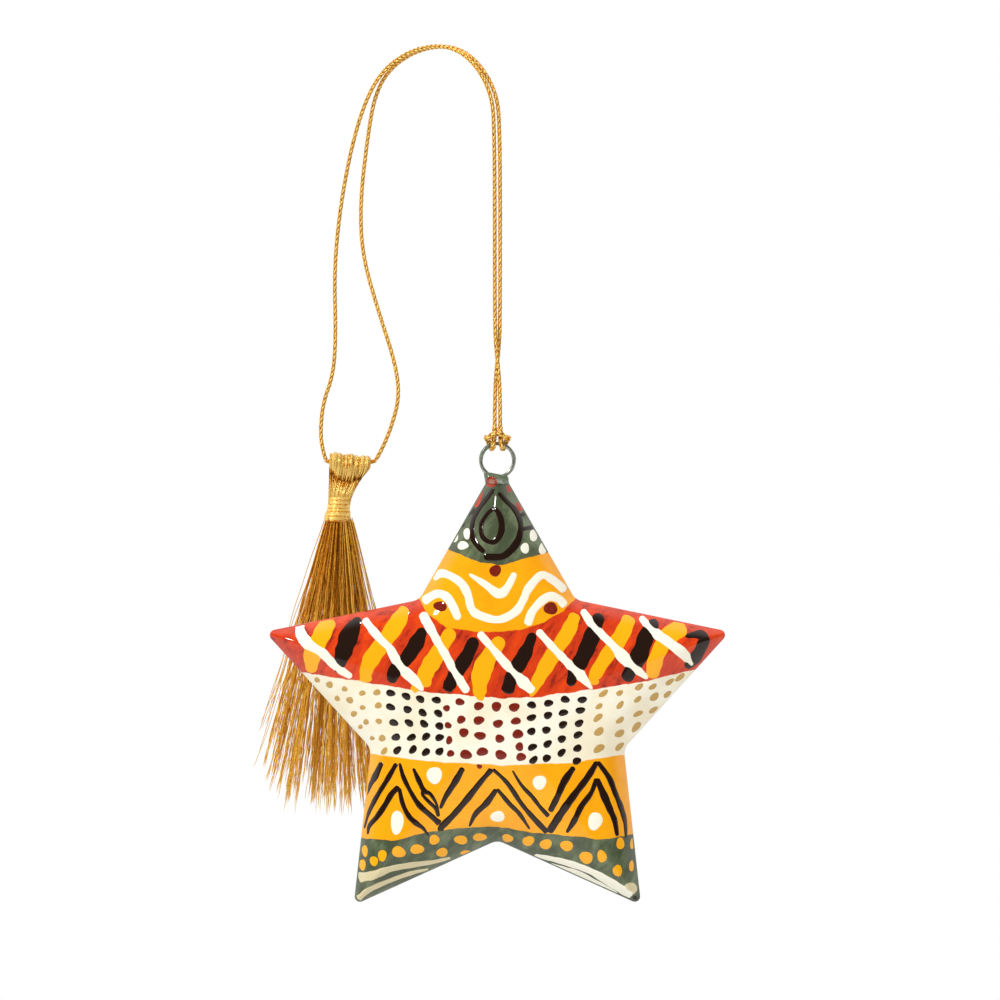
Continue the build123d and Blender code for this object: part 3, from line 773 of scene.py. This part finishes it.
RIGHT_ROUTE = [
    (DROP_X - STRAND_SPREAD, DROP_Y, PIVOT_Z + HITCH_PLAY), (DROP_X - STRAND_SPREAD, DROP_Y, -61.0),
    (DROP_X - 0.28, DROP_Y + 0.5, -56.2), (DROP_X + 0.28, DROP_Y + 0.5, -51.4),
    (DROP_X + STRAND_SPREAD, DROP_Y, -46.6), (DROP_X + STRAND_SPREAD, DROP_Y, -14.0), (10.4, -8.3, -8.0),
    (7.3, -5.7, -2.6), (3.1, -1.8, 0.4), (-2.5, 3.2, 0.4), (-7.6, 7.7, -2.2), (-10.6, 10.6, -6.6),
    (-12.0, 11.0, -14.4), (-13.3, 11.0, -26.0), (-12.9, 11.0, -35.0), (-10.0, 11.0, -45.0),
    (-7.2, 11.0, -53.5), (-6.4, 11.0, -59.5), (-7.9, 11.0, -65.0), (-9.6, 11.0, -68.9),
    (TASSEL[0] + MOUTH + 0.36, TASSEL[1], TASSEL[2] + 0.6),
]
JOIN_ROUTE = [LEFT_ROUTE[-1], TASSEL - (MOUTH, 0, 0), TASSEL + (MOUTH, 0, 0), RIGHT_ROUTE[-1]]
wrap_reach = WIRE / 2 + CORD / 2 + HITCH_FIT
HITCH_LEG = [
    (STRAND_SPREAD, 0, 2.8), (0.55, -0.95 * wrap_reach, 0.8 * wrap_reach),
    (0.75, -0.95 * wrap_reach, -0.85 * wrap_reach), (1.1, 0.95 * wrap_reach, -0.9 * wrap_reach),
    (1.55, wrap_reach, 0.5 * wrap_reach), (1.9, 0.4 * wrap_reach, 1.25 * wrap_reach),
    (1.85, -wrap_reach - 0.45 * CORD, 0.7 * wrap_reach),
    (0.85, -wrap_reach - 0.75 * CORD, 1.75 * wrap_reach),
]
HITCH_TOP = np.array([DROP_X, DROP_Y, PIVOT_Z - HITCH_HEIGHT])
HITCH_ROUTE = [HITCH_TOP + spot for spot in HITCH_LEG]
HITCH_ROUTE += [HITCH_TOP + (-x, y, z) for x, y, z in HITCH_LEG[::-1]]

# Braid, in millimetres: flat carriers woven about a core, and the directions their sections are square to
BRAID_PITCH = 4.0
CARRIERS = 8
CARRIER_SIDES = 4
CARRIER_REACH, CARRIER_WEAVE = 0.25, 0.045
CARRIER_THICK, CARRIER_WIDE, CARRIER_END = 0.1, 0.15, 0.05
CORE, CORE_SIDES = 0.24, 8
STRAND_SPACING, HITCH_SPACING = 0.1, 0.06
STRAND_SQUARE, HITCH_SQUARE = (0.669, 0.743, 0), (0.55, 0.6, -0.58)
HITCH_BULK = 1.28
KNOT_STEPS = 90
KNOT_CORD = 0.36
KNOT_X, KNOT_Y, KNOT_Z = 0.14, 0.12, 0.25


def cord_line(route, spacing):
    """Even points in metres along the curve that a route's points control, and its length."""
    curve = bpy.data.curves.new("route", "CURVE")
    curve.dimensions = "3D"
    curve.resolution_u = 32
    spline = curve.splines.new("NURBS")
    spline.points.add(len(route) - 1)
    spline.points.foreach_set("co", np.ravel([(*np.multiply(spot, MM), 1) for spot in route]))
    spline.order_u = 3
    spline.use_endpoint_u = True
    holder = bpy.data.objects.new("route", curve)
    mesh = bpy.data.meshes.new_from_object(holder)
    spots = np.empty(len(mesh.vertices) * 3, np.float32)
    mesh.vertices.foreach_get("co", spots)
    spots = spots.reshape(-1, 3).astype(float)
    bpy.data.objects.remove(holder)
    bpy.data.curves.remove(curve)
    bpy.data.meshes.remove(mesh)
    along = run_along(spots)
    at = np.linspace(0, along[-1], int(along[-1] / MM / spacing))
    return points_at(spots, along, at), along[-1]


def braid(name, line, length, body, finish, replaces, square_to, bulk=1.0):
    """A braid: carriers wound both ways about a line, each over and under those wound the other way."""
    along = np.linspace(0, length / MM, len(line))
    way = unit(np.gradient(line, axis=0))
    side = unit(np.cross(way, square_to))
    up = np.cross(side, way)
    hand = np.where(np.arange(CARRIERS) % 2, 1, -1)[:, None]
    start = 2 * pi * (np.arange(CARRIERS) // 2)[:, None] / (CARRIERS / 2)
    angle = hand * 2 * pi * along / BRAID_PITCH + start
    out = side * np.cos(angle)[..., None] + up * np.sin(angle)[..., None]
    reach = CARRIER_REACH + CARRIER_WEAVE * hand * np.cos(CARRIERS * pi * along / BRAID_PITCH)
    centre = line + out * reach[..., None] * bulk * MM
    across = np.cross(unit(np.gradient(centre, axis=1)), out)
    turn = full_turn(CARRIER_SIDES)[:, None]
    thick, wide = CARRIER_THICK * np.cos(turn), CARRIER_WIDE * np.sin(turn)
    section = out[:, :, None] * thick + across[:, :, None] * wide
    ends = np.where((along == along[0]) | (along == along[-1]), CARRIER_END, 1.0)[:, None, None] * bulk * MM
    points = centre[:, :, None] + ends * section
    first = (np.arange(CARRIERS) * len(line) * CARRIER_SIDES)[:, None, None]
    faces = first + grid_faces(len(line), CARRIER_SIDES, wrap=True)
    core, core_faces = tubes(line[None], CORE * bulk * MM, CORE_SIDES, square_to)
    # Painted light: carriers wound one way get a bright shade as a painted glint, those wound the other way a
    # dark one, and the core the darkest, as painted shade between the carriers.
    painted_carrier_glint_and_shade = np.where(hand[:, 0] > 0, 0.4, 1.1) + rng.uniform(-0.2, 0.2, CARRIERS)
    shade = np.concatenate([np.repeat(painted_carrier_glint_and_shade, len(line) * CARRIER_SIDES), np.zeros(core.size // 3)])
    faces = np.concatenate([faces.reshape(-1, 4), core_faces + points.size // 3])
    points = np.concatenate([points.reshape(-1, 3), core.reshape(-1, 3)])
    return mesh_piece(name, points, faces, body, finish, replaces, {"shade": shade})


# Tassel, in millimetres, with its counts of threads, turns and steps
FOLD_HALF = 3.5
FOLD_THREADS, FOLD_STEPS = 640, 52
FOLD_THREAD = 0.085
FOLD_SLANT = 0.37
NECK = np.array([-17.0, 11.0])
NECK_HALF = 1.75
NECK_TOP_Z, NECK_FOOT_Z = -77.0, -81.2
BINDING_TURNS, BINDING_STEPS = 16, 32
BINDING_HALF = (1.92, 1.76)
BINDING_START, BINDING_LEAN = 0.25, 0.6
BINDING_THREAD, BINDING_SIDES = 0.19, 8
SKIRT_THREADS, SKIRT_LOCKS, SKIRT_STRAYS, SKIRT_STEPS = 560, 170, 50, 40
SKIRT_ROOT_HALF = (1.9, 1.6)
SKIRT_ROOT_RISE = 0.8
SKIRT_HEM = np.array([-18.6, 11.0])
SKIRT_HALF = np.array([13.6, 6.2])
SKIRT_SOLID_LENGTH, SKIRT_LENGTH = 50, 53.5
SKIRT_GATHER = 0.92
SKIRT_LEFT_CUT, SKIRT_RAGGED = 8, 8
SKIRT_THREAD = 0.095
THREAD_SIDES = 3

# Up one side of the fold: share of the way from neck to roll, depth, height over the cord, and sag
FOLD_SIDE = [
    (0.0, 1.5, -7.4, 0), (0.22, 1.25, -5.0, 0), (0.62, 0.6, -1.4, 1.5), (0.88, 1.45, -0.2, 1.2),
    (0.98, 1.75, 0.3, 0.6), (1.0, 1.15, 1.1, 0.1),
]
FOLD_TOP = (0, 1.0, 0.0, 1.45, 0)
PINCH_HEIGHT = -1


def thread_piece(name, points, faces, finish, node, shade):
    """A piece of the tassel's thread, which stands for one of its solids, with a shade per point."""
    mesh_piece(name, points, faces, "tassel", finish, [node], {"shade": shade})


def tassel_fold(finish):
    """Threads folded over the cord: a bumpy roll that sags in the middle, drawn in to the neck."""
    count = FOLD_THREADS
    across = rng.uniform(-1, 1, count)
    layer, fill = rng.uniform(0.78, 1, count), rng.uniform(0.2, 1, count)
    bump = 0.13 * np.sin(9 * across + 1) + 0.1 * np.sin(23 * across) + rng.normal(0, 0.06, count)
    dip, uneven = 1 - across**2, np.maximum(rng.normal(0, 0.3, count), -0.25)
    top_x = TASSEL[0] + FOLD_HALF * across
    neck_x = NECK[0] + NECK_HALF * across
    keys = []
    for front, blend, depth, height, sag in (
        *((-1, *key) for key in FOLD_SIDE), FOLD_TOP, *((1, *key) for key in FOLD_SIDE[::-1]),
    ):
        on_roll = height > PINCH_HEIGHT
        x = neck_x + (top_x - neck_x) * blend
        inner = np.sqrt(np.maximum(1 - 0.75 * across**2 * (1 - blend), 0))
        y = TASSEL[1] + front * (depth * (layer if on_roll else fill) + bump * on_roll) * inner
        slant = (bump - FOLD_SLANT * across) * blend**2
        z = TASSEL[2] + height - sag * (dip + uneven) + slant + (layer - 1) * (height > 0)
        keys.append(np.stack([x, y, z], -1))
    paths = smooth_line(np.array(keys), FOLD_STEPS).swapaxes(0, 1)
    paths += rng.normal(0, 0.006, paths.shape)
    points, faces = tubes(paths * MM, FOLD_THREAD * MM, THREAD_SIDES, (1, 0, 0))
    # Painted light along each thread: painted shade in the crease below the roll, and a painted highlight on
    # the roll's lower edge.
    run = np.abs(np.linspace(-len(FOLD_SIDE), len(FOLD_SIDE), FOLD_STEPS))
    painted_crease_shade_and_roll_highlight = 1.1 * np.exp(-((run - 3.9) / 0.5) ** 2) - 0.6 * np.exp(-((run - 2.9) / 0.35) ** 2)
    shade = np.repeat(rng.uniform(0.6, 1.4, (count, 1)) - painted_crease_shade_and_roll_highlight, THREAD_SIDES)
    thread_piece("tassel_loops", points, faces, finish, "tassel_fold", shade)


def tassel_binding(finish):
    """Thread wound close round the neck, swelling over its lower turns."""
    turn = np.linspace(0, 2 * pi * BINDING_TURNS, BINDING_TURNS * BINDING_STEPS)
    share = turn / turn[-1]
    swell = 0.94 + 0.16 * np.exp(-((share - 0.78) / 0.2) ** 4) + 0.012 * np.sin(turn * 0.61)
    x = NECK[0] + BINDING_START - BINDING_LEAN * share + BINDING_HALF[0] * swell * np.cos(turn)
    y = NECK[1] + BINDING_HALF[1] * swell * np.sin(turn)
    z = NECK_TOP_Z + (NECK_FOOT_Z - NECK_TOP_Z) * share + 0.05 * np.sin(turn + 4 * share)
    path = np.stack([x, y, z], -1)[None]
    points, faces = tubes(path * MM, BINDING_THREAD * MM, BINDING_SIDES, (0, 0, 1))
    shade = 0.95 + 0.3 * np.repeat(np.sin(turn * 0.37), BINDING_SIDES)
    thread_piece("tassel_whipping", points, faces, finish, "tassel_binding", shade)


def tassel_skirt(finish):
    """Loose threads fanning from the neck to a ragged hem, drawn to their nearest lock, with strays."""
    count, locks, strays = SKIRT_THREADS, SKIRT_LOCKS, SKIRT_STRAYS
    reach, turn = np.sqrt(rng.uniform(0, 1, count)), rng.uniform(0, 2 * pi, count)
    spot = np.stack([reach * np.cos(turn), reach * np.sin(turn)], -1)
    stray = np.arange(count) < strays
    spot[stray] = unit(spot[stray]) * rng.uniform(1.0, 1.3, (strays, 1))
    lock = spot[strays:strays + locks]
    nearest = np.linalg.norm(spot[:, None] - lock, axis=-1).argmin(1)
    drawn_in = SKIRT_GATHER * (lock[nearest] - spot) * ~stray[:, None]
    left_out = np.maximum(-spot[:, 0] - 0.3, 0)
    length = SKIRT_LENGTH - rng.gamma(1.2, 1.2, count) - SKIRT_LEFT_CUT * left_out**1.1
    length = length - rng.uniform(0, SKIRT_RAGGED, locks)[nearest]
    t = np.linspace(0, 1, SKIRT_STEPS)[:, None, None]
    root = NECK + spot * SKIRT_ROOT_HALF
    hem = SKIRT_HEM + (spot + drawn_in * np.minimum(1.3 * t, 1)) * SKIRT_HALF
    plan = root + (hem - root) * t * (length / SKIRT_SOLID_LENGTH)[:, None]
    phase = rng.uniform(0, 2 * pi, (2, count, 2))
    bend = rng.normal(0, 0.5, (locks, 2))[nearest] + rng.normal(0, 0.1, (count, 2))
    wave = 0.1 * np.sin(2 * pi * 1.3 * t + phase[0]) + 0.06 * np.sin(2 * pi * 2.9 * t + phase[1])
    crinkle = 0.075 * np.sin((2 * pi * 7 + 4 * phase[1]) * t + 3 * phase[0]) * ~stray[:, None]
    sway = (wave + bend * t**2 + crinkle) * np.minimum(t * 2.5, 1)
    plan = plan + sway * (1 + 1.6 * t * stray[:, None])
    drop = np.sqrt(np.maximum(length**2 - ((hem[-1] - root) ** 2).sum(1), 1))
    z = NECK_FOOT_Z + SKIRT_ROOT_RISE - t[..., 0] * drop
    paths = np.concatenate([plan, z[..., None]], -1).swapaxes(0, 1)
    down = t[:, 0, 0]
    points, faces = tubes(paths * MM, SKIRT_THREAD * (1 - 0.3 * down) * MM, THREAD_SIDES)
    # Painted light: besides each thread's own tone, the shade runs darker near the neck and lighter down
    # towards the hem, for how light falls through the skirt.
    shade = np.repeat(rng.uniform(-0.1, 1.0, (count, 1)) + 1.4 * down**1.4, THREAD_SIDES)
    thread_piece("tassel_threads", points, faces, finish, "tassel_skirt", shade)


def cord_knot(finish):
    """The overhand knot that closes the cord's loop inside the fold, a three-lobed line, with its tails."""
    turn = np.linspace(0, 2 * pi, KNOT_STEPS)
    x = KNOT_X * (np.sin(turn) + 2 * np.sin(2 * turn))
    y = KNOT_Y * (np.cos(turn) - 2 * np.cos(2 * turn))
    z = -KNOT_Z * np.sin(3 * turn)
    knot = TASSEL + np.stack([x, y, z], -1)
    run, _ = cord_line(JOIN_ROUTE, STRAND_SPACING)
    run = run[np.linspace(0, len(run) - 1, KNOT_STEPS).astype(int)]
    points, faces = tubes(np.stack([knot * MM, run]), KNOT_CORD * MM, CORE_SIDES, (0.1, 1, 0.2))
    values = {"shade": np.full(points.size // 3, 0.6)}
    return mesh_piece("cord_knot", points, faces, "cord", finish, ["cord_join"], values)


def cords(finish):
    """Both strands, the lark's head hitch and the knot."""
    line, length = cord_line(HITCH_ROUTE, HITCH_SPACING)
    hitch = braid("hitch_braid", line, length, "hitch", finish, ["cord_hitch"], HITCH_SQUARE, HITCH_BULK)
    for name, route, pieces in (("left", LEFT_ROUTE, [hitch]), ("right", RIGHT_ROUTE, [cord_knot(finish)])):
        line, length = cord_line(route, STRAND_SPACING)
        node = f"cord_strand_{name}"
        strand = braid(f"strand_{name}_braid", line, length, "cord", finish, [node], STRAND_SQUARE)


# Studio, in metres: each lamp's name, place, size, power and whether the gloss mirrors it
LAMPS = (
    ("key_lamp", (-0.85, -0.75, 0.65), 0.2, 10.5, True),
    ("fill_lamp", (0.9, -0.8, 0.2), 0.9, 3.6, False),
    ("top_lamp", (-0.1, -0.12, 1.0), 0.1, 2.5, True),
)
AMBIENT = 0.58
FLOOR_HALF, FLOOR_Z = 2.5, -0.45


def studio():
    """Camera at the photograph's angle, a white backdrop, three lamps and a pale floor out of view."""
    camera = add_object("camera", bpy.data.cameras.new("camera"))
    camera.location = (VIEW_CENTRE - (0, CAMERA_DISTANCE, 0)) * MM
    camera.rotation_euler = (pi / 2, 0, 0)
    camera.data.lens = camera.data.sensor_width * CAMERA_DISTANCE / (PHOTO_PX / PX_PER_MM)
    scene.camera = camera

    for name, spot, size, power, shows in LAMPS:
        lamp = bpy.data.lights.new(name, "AREA")
        lamp.shape = "DISK"
        lamp.size = size
        lamp.energy = power
        holder = add_object(name, lamp)
        holder.visible_glossy = shows
        holder.location = spot
        aim = VIEW_CENTRE * MM - spot
        tilt = np.arctan2(np.hypot(aim[0], aim[1]), -aim[2])
        holder.rotation_euler = (tilt, 0, np.arctan2(aim[1], aim[0]) - pi / 2)

    world = bpy.data.worlds.new("studio")
    world.use_nodes = True
    scene.world = world
    nodes = Nodes(world.node_tree)
    heading = nodes.node("ShaderNodeTexCoord", {}, {}, "Generated")
    depth = nodes.node("ShaderNodeSeparateXYZ", {}, {"Vector": heading}, "Y")
    seen = nodes.node("ShaderNodeLightPath", {}, {}, "Is Camera Ray")
    glossy = nodes.node("ShaderNodeLightPath", {}, {}, "Is Glossy Ray")
    mirrored = nodes.step(depth, -0.3, 0.25, 0.08, 1.0)
    ambient = AMBIENT + (mirrored - AMBIENT) * glossy
    strength = ambient + (1 - ambient) * seen
    background = world.node_tree.nodes["Background"]
    background.inputs["Color"].default_value = (1, 1, 1, 1)
    world.node_tree.links.new(strength.socket, background.inputs["Strength"])

    floor_mesh = bpy.data.meshes.new("floor")
    corners = [(x * FLOOR_HALF, y * FLOOR_HALF, FLOOR_Z) for x, y in ((-1, -1), (1, -1), (1, 1), (-1, 1))]
    floor_mesh.from_pydata(corners, [], [(0, 1, 2, 3)])
    pale = Finish("pale_floor", Base_Color=(0.86, 0.86, 0.85, 1), Roughness=0.7)
    floor_mesh.materials.append(pale.material)
    floor = add_object("floor", floor_mesh)


scene.view_settings.view_transform = "Standard"
bands = band_finish()
star_half(1, bands)
star_half(-1, bands)
star_seam(bands)

paint("paint_red", brush_finish("brush_red", RED_DARK, RED, 0.5), 0.04, RED_STROKES)
paint("paint_orange", brush_finish("brush_orange", ORANGE, ORANGE_DEEP), 0.045, ORANGE_STROKES, ORANGE_DOTS)
paint("paint_black", brush_finish("brush_black", BLACK, BROWN, 0.9), 0.065, BLACK_STROKES, BLACK_DOTS)
paint("paint_maroon", brush_finish("brush_maroon", MAROON, MAROON_THIN), 0.07, (), MAROON_DOTS)
paint("paint_gold", brush_finish("brush_gold", OCHRE, OCHRE_DARK), 0.07, (), GOLD_DOTS)
# The cream strokes on down-facing rims, painted darker as painted shade.
paint("paint_cream_painted_shade", brush_finish("brush_cream_painted_shade", CREAM_PAINTED_SHADE, CREAM_PALE_PAINTED_SHADE), 0.075, CREAM_STROKES_PAINTED_SHADE)
paint("paint_white", brush_finish("brush_white", CREAM, CREAM_WARM, 0.85), 0.08, WHITE_STROKES, WHITE_DOTS)

ring(wire_finish())
ring_solder(solder_finish())

wound_gold = gold_finish("gold_thread_wound", GOLD_DARK, GOLD_DEEP, GOLD, 0.4)
tassel_fold(wound_gold)
tassel_binding(wound_gold)
tassel_skirt(gold_finish("gold_thread_loose", GOLD_DARK, GOLD_DEEP, GOLD_WARM, 0.2))
cords(gold_finish("gold_braid", GOLD_DARK, GOLD_DEEP, GOLD, 0.4))

studio()
